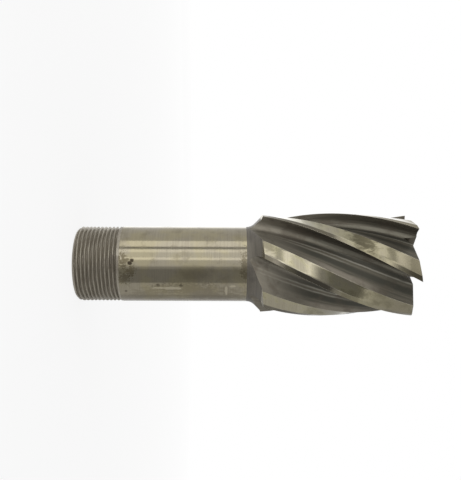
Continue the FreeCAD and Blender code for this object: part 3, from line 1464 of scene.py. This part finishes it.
def steel_finishes(twist: Twist) -> dict[Zone, SteelFinish]:
    """The finish of each zone of the steel.

    Args:
        twist: How the teeth are set round the axis.

    Returns:
        The finishes. Marks on the shank and on two lands are where the tool shows them; the two dark marks
        near 92 mm on the first land are painted dark reflections.
    """
    shank_pits = (
        Mark(math.radians(-3.0), 18.6 * MM, 0.65 * MM, 0.75 * MM, 0.9, ragged=0.25),
        Mark(math.radians(-6.5), 19.3 * MM, 0.6 * MM, 0.65 * MM, 0.9, ragged=0.25),
        Mark(math.radians(43.0), 17.0 * MM, 0.4 * MM, 0.4 * MM, 0.6, ragged=0.3),
        Mark(math.radians(31.0), 27.5 * MM, 0.5 * MM, 0.6 * MM, 0.5, ragged=0.5),
        Mark(math.radians(31.5), 34.8 * MM, 0.5 * MM, 0.6 * MM, 0.5, ragged=0.5),
    )
    shank_stains = (
        Mark(math.radians(52.0), 44.0 * MM, 3.6 * MM, 9.0 * MM, 0.5, ragged=1.0, fade=0.7),
        Mark(math.radians(54.0), 24.0 * MM, 3.0 * MM, 6.0 * MM, 0.4, ragged=1.0, fade=0.7),
        Mark(math.radians(14.0), 39.0 * MM, 2.5 * MM, 4.5 * MM, 0.5, ragged=0.3, fade=0.6),
    )
    shank_specks = (
        Mark(math.radians(-6.0), 16.4 * MM, 2.2 * MM, 1.3 * MM, 0.9, ragged=1.1),
        Mark(math.radians(10.0), 19.0 * MM, 1.6 * MM, 1.1 * MM, 0.9, ragged=1.1),
        Mark(math.radians(20.0), 17.0 * MM, 2.0 * MM, 1.6 * MM, 0.7, ragged=1.1),
        Mark(math.radians(2.0), 55.2 * MM, 4.5 * MM, 1.1 * MM, 0.7, ragged=1.1),
        Mark(math.radians(38.0), 36.0 * MM, 2.4 * MM, 9.0 * MM, 0.5, ragged=1.0),
    )
    shank_scratches = (
        Mark(math.radians(37.0), 30.8 * MM, 0.5 * MM, 4.0 * MM, 0.6, ragged=0.7),
        Mark(math.radians(42.0), 49.4 * MM, 2.0 * MM, 0.4 * MM, 0.6, ragged=0.6),
        Mark(math.radians(33.0), 51.5 * MM, 0.5 * MM, 1.2 * MM, 0.6, ragged=0.6),
    )
    first_land = twist.first_edge + math.pi / 2
    second_land = first_land + twist.pitch
    land_radius = 16.6 * MM
    land_stains_and_reflections = (
        # The first two land marks are painted dark reflections on the first land; the last two are darker
        # patches.
        Mark(first_land - math.radians(16.5), 92.5 * MM, 5.0 * MM, 4.0 * MM, 1.0, land_radius, 0.7, 0.5),
        Mark(first_land - math.radians(14.0), 93.0 * MM, 8.0 * MM, 20.0 * MM, 0.12, land_radius, 0.3, 0.6),
        Mark(second_land - math.radians(18.0), 62.0 * MM, 2.2 * MM, 3.0 * MM, 0.6, land_radius, 0.5, 0.5),
        Mark(first_land - math.radians(13.0), 109.5 * MM, 5.0 * MM, 3.0 * MM, 0.6, land_radius, 0.3, 0.3),
    )
    thread_stains = (Mark(math.radians(-2.0), 13.5 * MM, 3.0 * MM, 1.8 * MM, 0.8),)
    return {
        Zone.SHANK: SteelFinish(
            "ground_shank", (0.275, 0.25, 0.19), (0.235, 0.21, 0.16), (0.13, 0.11, 0.07), roughness=0.11,
            stained_roughness=0.35, stain_share=0.35, bump_depth=0.008 * MM, tint_share=0.45,
            stains_and_reflections=shank_stains, specks=shank_specks, pits=shank_pits, scratches=shank_scratches,
        ),
        Zone.THREAD: ThreadFinish(
            "oxidised_thread", (0.35, 0.32, 0.26), (0.28, 0.255, 0.205), (0.19, 0.165, 0.13),
            metallic=0.6, roughness=0.4, stains_and_reflections=thread_stains,
        ),
        Zone.NECK: SteelFinish(
            "dark_neck", (0.145, 0.13, 0.105), (0.10, 0.092, 0.076), (0.08, 0.07, 0.062),
            metallic=0.6, roughness=0.45,
        ),
        Zone.FLUTE: FluteFinish(
            "dark_flutes", (0.13, 0.118, 0.09), (0.07, 0.064, 0.05), (0.085, 0.07, 0.052), Grain.HELIX,
            line_size=0.5 * MM, metallic=0.6, roughness=0.42, edge_tone=0.5,
        ),
        Zone.LAND: LandFinish(
            "ground_lands", (0.32, 0.295, 0.22), (0.27, 0.245, 0.18), (0.11, 0.098, 0.063), Grain.ACROSS,
            roughness=0.1, stained_roughness=0.3, stains_and_reflections=land_stains_and_reflections,
            tint=(0.34, 0.315, 0.205), tint_size=6.0 * MM, tint_share=0.8,
        ),
        Zone.EDGE: SteelFinish(
            "worn_edges", (0.42, 0.39, 0.31), (0.34, 0.31, 0.25), (0.2, 0.17, 0.12), Grain.ACROSS,
            roughness=0.25,
        ),
        Zone.END: SteelFinish(
            "ground_end", (0.13, 0.118, 0.095), (0.10, 0.09, 0.072), (0.07, 0.06, 0.045), Grain.NONE,
            roughness=0.35, edge_tone=0.25,
        ),
    }


@dataclass(frozen=True)
class Panel:
    """Upright panel round the tool, a lamp or a card.

    Its two directions are angles round Z, from the camera's towards +X.
    """

    name: str
    start: float
    end: float
    tone: float
    low: float = -0.4
    high: float = 0.5
    distance: float = 0.55

    def place(self) -> Matrix:
        """Sets the panel upright between its directions.

        Returns:
            Its matrix. It faces the tool along its -Z.
        """
        middle = (self.start + self.end) / 2
        outward = Vector((math.sin(middle), -math.cos(middle), 0.0))
        centre = outward * self.distance + Vector((0.0, 0.0, (self.low + self.high) / 2))
        return Matrix.Translation(centre) @ outward.to_track_quat("Z", "Y").to_matrix().to_4x4()

    def width(self) -> float:
        """Width that spans the two directions."""
        return 2.0 * self.distance * math.tan((self.end - self.start) / 2)

    def height(self) -> float:
        """Height of the panel."""
        return self.high - self.low


@dataclass
class Studio:
    """Camera, lamps, grey cards and floor."""

    camera_place: Vector
    camera_aim: Vector
    camera_roll: float
    focal_length: float
    nearest: float = 0.01
    farthest: float = 20.0
    ambient: float = 0.6
    background: float = 1.0
    floor_size: float = 6.0
    floor_tone: float = 0.85
    floor_glow: float = 0.85
    shadow_reach: float = 0.8
    card_split: float = 0.085

    def lamps(self) -> list[Panel]:
        """Sets the soft lamps, which are long strips that make the light bands on the shank.

        Returns:
            The lamps.
        """
        return [
            Panel("upper_strip", math.radians(-75.0), math.radians(-55.0), 1.0),
            Panel("middle_strip", math.radians(-46.0), math.radians(-37.0), 1.15),
            Panel("soft_strip", math.radians(-37.0), math.radians(-22.0), 0.55),
            Panel("lower_strip", math.radians(-21.0), math.radians(-13.5), 1.2),
            Panel("faint_strip", math.radians(-13.5), math.radians(4.0), 0.2),
            Panel("back_strip", math.radians(-176.0), math.radians(-146.0), 0.6),
        ]

    def cards(self) -> list[Panel]:
        """Sets the grey cards, which make the dark bands. Some stand beside the shank or the head only.

        Returns:
            The cards.
        """
        split = self.card_split
        return [
            Panel("line_card", math.radians(-53.5), math.radians(-48.0), 0.55, high=split),
            Panel("side_card", math.radians(58.0), math.radians(108.0), 0.84),
            Panel("rim_card", math.radians(108.0), math.radians(150.0), 0.62),
            Panel("card_edge", math.radians(7.0), math.radians(14.0), 0.6, high=split),
            Panel("front_card", math.radians(14.0), math.radians(58.0), 0.42, high=split),
            Panel("head_card", math.radians(-7.0), math.radians(45.0), 0.30, low=split),
            Panel("back_card", math.radians(158.0), math.radians(184.0), 0.34),
        ]

    def camera(self) -> None:
        """Adds the camera, with the tool's axis across its picture."""
        data = bpy.data.cameras.new("camera")
        data.lens = self.focal_length
        data.clip_start, data.clip_end = self.nearest, self.farthest
        holder = linked_object("camera", data)
        back = (self.camera_place - self.camera_aim).normalized()
        right = Vector((math.sin(self.camera_roll), 0.0, math.cos(self.camera_roll)))
        right = (right - back * right.dot(back)).normalized()
        turn = Matrix((right, back.cross(right), back)).transposed()
        holder.matrix_world = Matrix.Translation(self.camera_place) @ turn.to_4x4()
        bpy.context.scene.camera = holder

    def lamp(self, panel: Panel) -> None:
        """Adds a soft rectangular lamp.

        Args:
            panel: Its place, size and tone.
        """
        data = bpy.data.lights.new(panel.name, "AREA")
        data.shape = "RECTANGLE"
        data.size, data.size_y = panel.width(), panel.height()
        data.energy = panel.tone * math.pi * data.size * data.size_y
        linked_object(panel.name, data).matrix_world = panel.place()

    def plain_plane(self, name: str, width: float, height: float, place: Matrix) -> bpy.types.Object:
        """Adds a rectangle that isn't part of the tool.

        Args:
            name: Name of its object and mesh.
            width: Size along its X.
            height: Size along its Y.
            place: Where it stands, with its face along its Z.

        Returns:
            The object, at the origin.
        """
        half_width, half_height = 0.5 * width, 0.5 * height
        corners = [(-half_width, -half_height, 0.0), (half_width, -half_height, 0.0),
                   (half_width, half_height, 0.0), (-half_width, half_height, 0.0)]
        mesh = bpy.data.meshes.new(name)
        mesh.from_pydata(corners, [], [(0, 1, 2, 3)])
        mesh.transform(place)
        made = linked_object(name, mesh)
        return made

    def empty_tree(self, owner: bpy.types.ID) -> Tree:
        """Clears the nodes of a material or a world.

        Args:
            owner: The material or the world.

        Returns:
            Its node tree.
        """
        owner.use_nodes = True
        owner.node_tree.nodes.clear()
        return Tree(owner.node_tree)

    def card(self, panel: Panel) -> None:
        """Adds a grey card that only the steel's reflections see.

        Args:
            panel: Its place, size and tone.
        """
        card = self.plain_plane(panel.name, panel.width(), panel.height(), panel.place())
        material = bpy.data.materials.new(panel.name)
        tree = self.empty_tree(material)
        glow = tree.node("ShaderNodeEmission")
        tree.feed(grey(panel.tone), glow.inputs["Color"])
        tree.feed(glow.outputs[0], tree.node("ShaderNodeOutputMaterial").inputs["Surface"])
        card.data.materials.append(material)
        card.visible_camera = False
        card.visible_diffuse = False
        card.visible_shadow = False

    def floor(self) -> None:
        """Adds the pale floor, white to the camera and a little darker in the tool's shadow."""
        floor = self.plain_plane("floor", self.floor_size, self.floor_size, Matrix.Identity(4))
        material = bpy.data.materials.new("floor")
        tree = self.empty_tree(material)
        pale = tree.node("ShaderNodeBsdfDiffuse")
        tree.feed(grey(self.floor_tone), pale.inputs["Color"])
        away = tree.node("ShaderNodeVectorMath", operation="LENGTH")
        tree.feed(tree.node("ShaderNodeTexCoord").outputs["Object"], away.inputs[0])
        glow = tree.spread(away.outputs["Value"], 0.0, self.shadow_reach, self.floor_glow, 1.0, smooth=False)
        mix = tree.node("ShaderNodeMixShader")
        tree.feed(tree.math("MULTIPLY", self.seen_rays(tree), glow), mix.inputs[0])
        tree.feed(pale.outputs[0], mix.inputs[1])
        tree.feed(tree.node("ShaderNodeEmission").outputs[0], mix.inputs[2])
        tree.feed(mix.outputs[0], tree.node("ShaderNodeOutputMaterial").inputs["Surface"])
        floor.data.materials.append(material)
        floor.visible_glossy = False
        floor.visible_shadow = False

    def seen_rays(self, tree: Tree) -> Socket:
        """Finds the rays that show the background: those of the camera, of gloss and through glass.

        Args:
            tree: Tree that gets the nodes.

        Returns:
            1 for those rays and 0 for others.
        """
        path = tree.node("ShaderNodeLightPath")
        value = path.outputs["Is Camera Ray"]
        for name in ("Is Glossy Ray", "Is Transmission Ray"):
            value = tree.math("MAXIMUM", value, path.outputs[name])
        return value

    def world(self) -> None:
        """Gives the world a plain soft light, and white where it is seen."""
        world = bpy.data.worlds.new("studio")
        bpy.context.scene.world = world
        tree = self.empty_tree(world)
        mix = tree.node("ShaderNodeMixShader")
        tree.feed(self.seen_rays(tree), mix.inputs[0])
        for place, strength in ((1, self.ambient), (2, self.background)):
            light = tree.node("ShaderNodeBackground")
            tree.feed(grey(1.0), light.inputs["Color"])
            tree.feed(strength, light.inputs["Strength"])
            tree.feed(light.outputs[0], mix.inputs[place])
        tree.feed(mix.outputs[0], tree.node("ShaderNodeOutputWorld").inputs["Surface"])

    def build(self) -> None:
        """Builds the studio."""
        self.camera()
        self.world()
        self.floor()
        for panel in self.lamps():
            self.lamp(panel)
        for panel in self.cards():
            self.card(panel)
        bpy.context.scene.view_settings.view_transform = "Standard"


def main() -> None:
    """Builds the dressed tool and its studio around the frame."""
    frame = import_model()
    LOG.info("frame loaded: %s", sorted(frame["nodes"]))
    shank_mount = next(mount for mount in frame["record"]["mounts"] if mount["name"] == "shank")
    shank_radius = shank_mount["dims"]["r_mm"] * MM
    head = Head(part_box(NODE)[1].z, shank_radius, CUTTING_DIAMETER / 2)
    twist = head.twist()
    finishes = {zone: finish.material(twist) for zone, finish in steel_finishes(twist).items()}
    shank = Shank(shank_radius, head.shank_length, head.ring_angle())
    EndMill(head, shank, finishes).build()
    studio = Studio(
        camera_place=Vector((-8.185, -215.0, 48.70)) * MM,
        camera_aim=Vector((-8.087, 0.0, 50.795)) * MM,
        camera_roll=math.radians(-0.247),
        focal_length=47.706,
    )
    studio.build()


if __name__ == "__main__":
    logging.basicConfig(level=logging.INFO)
    main()
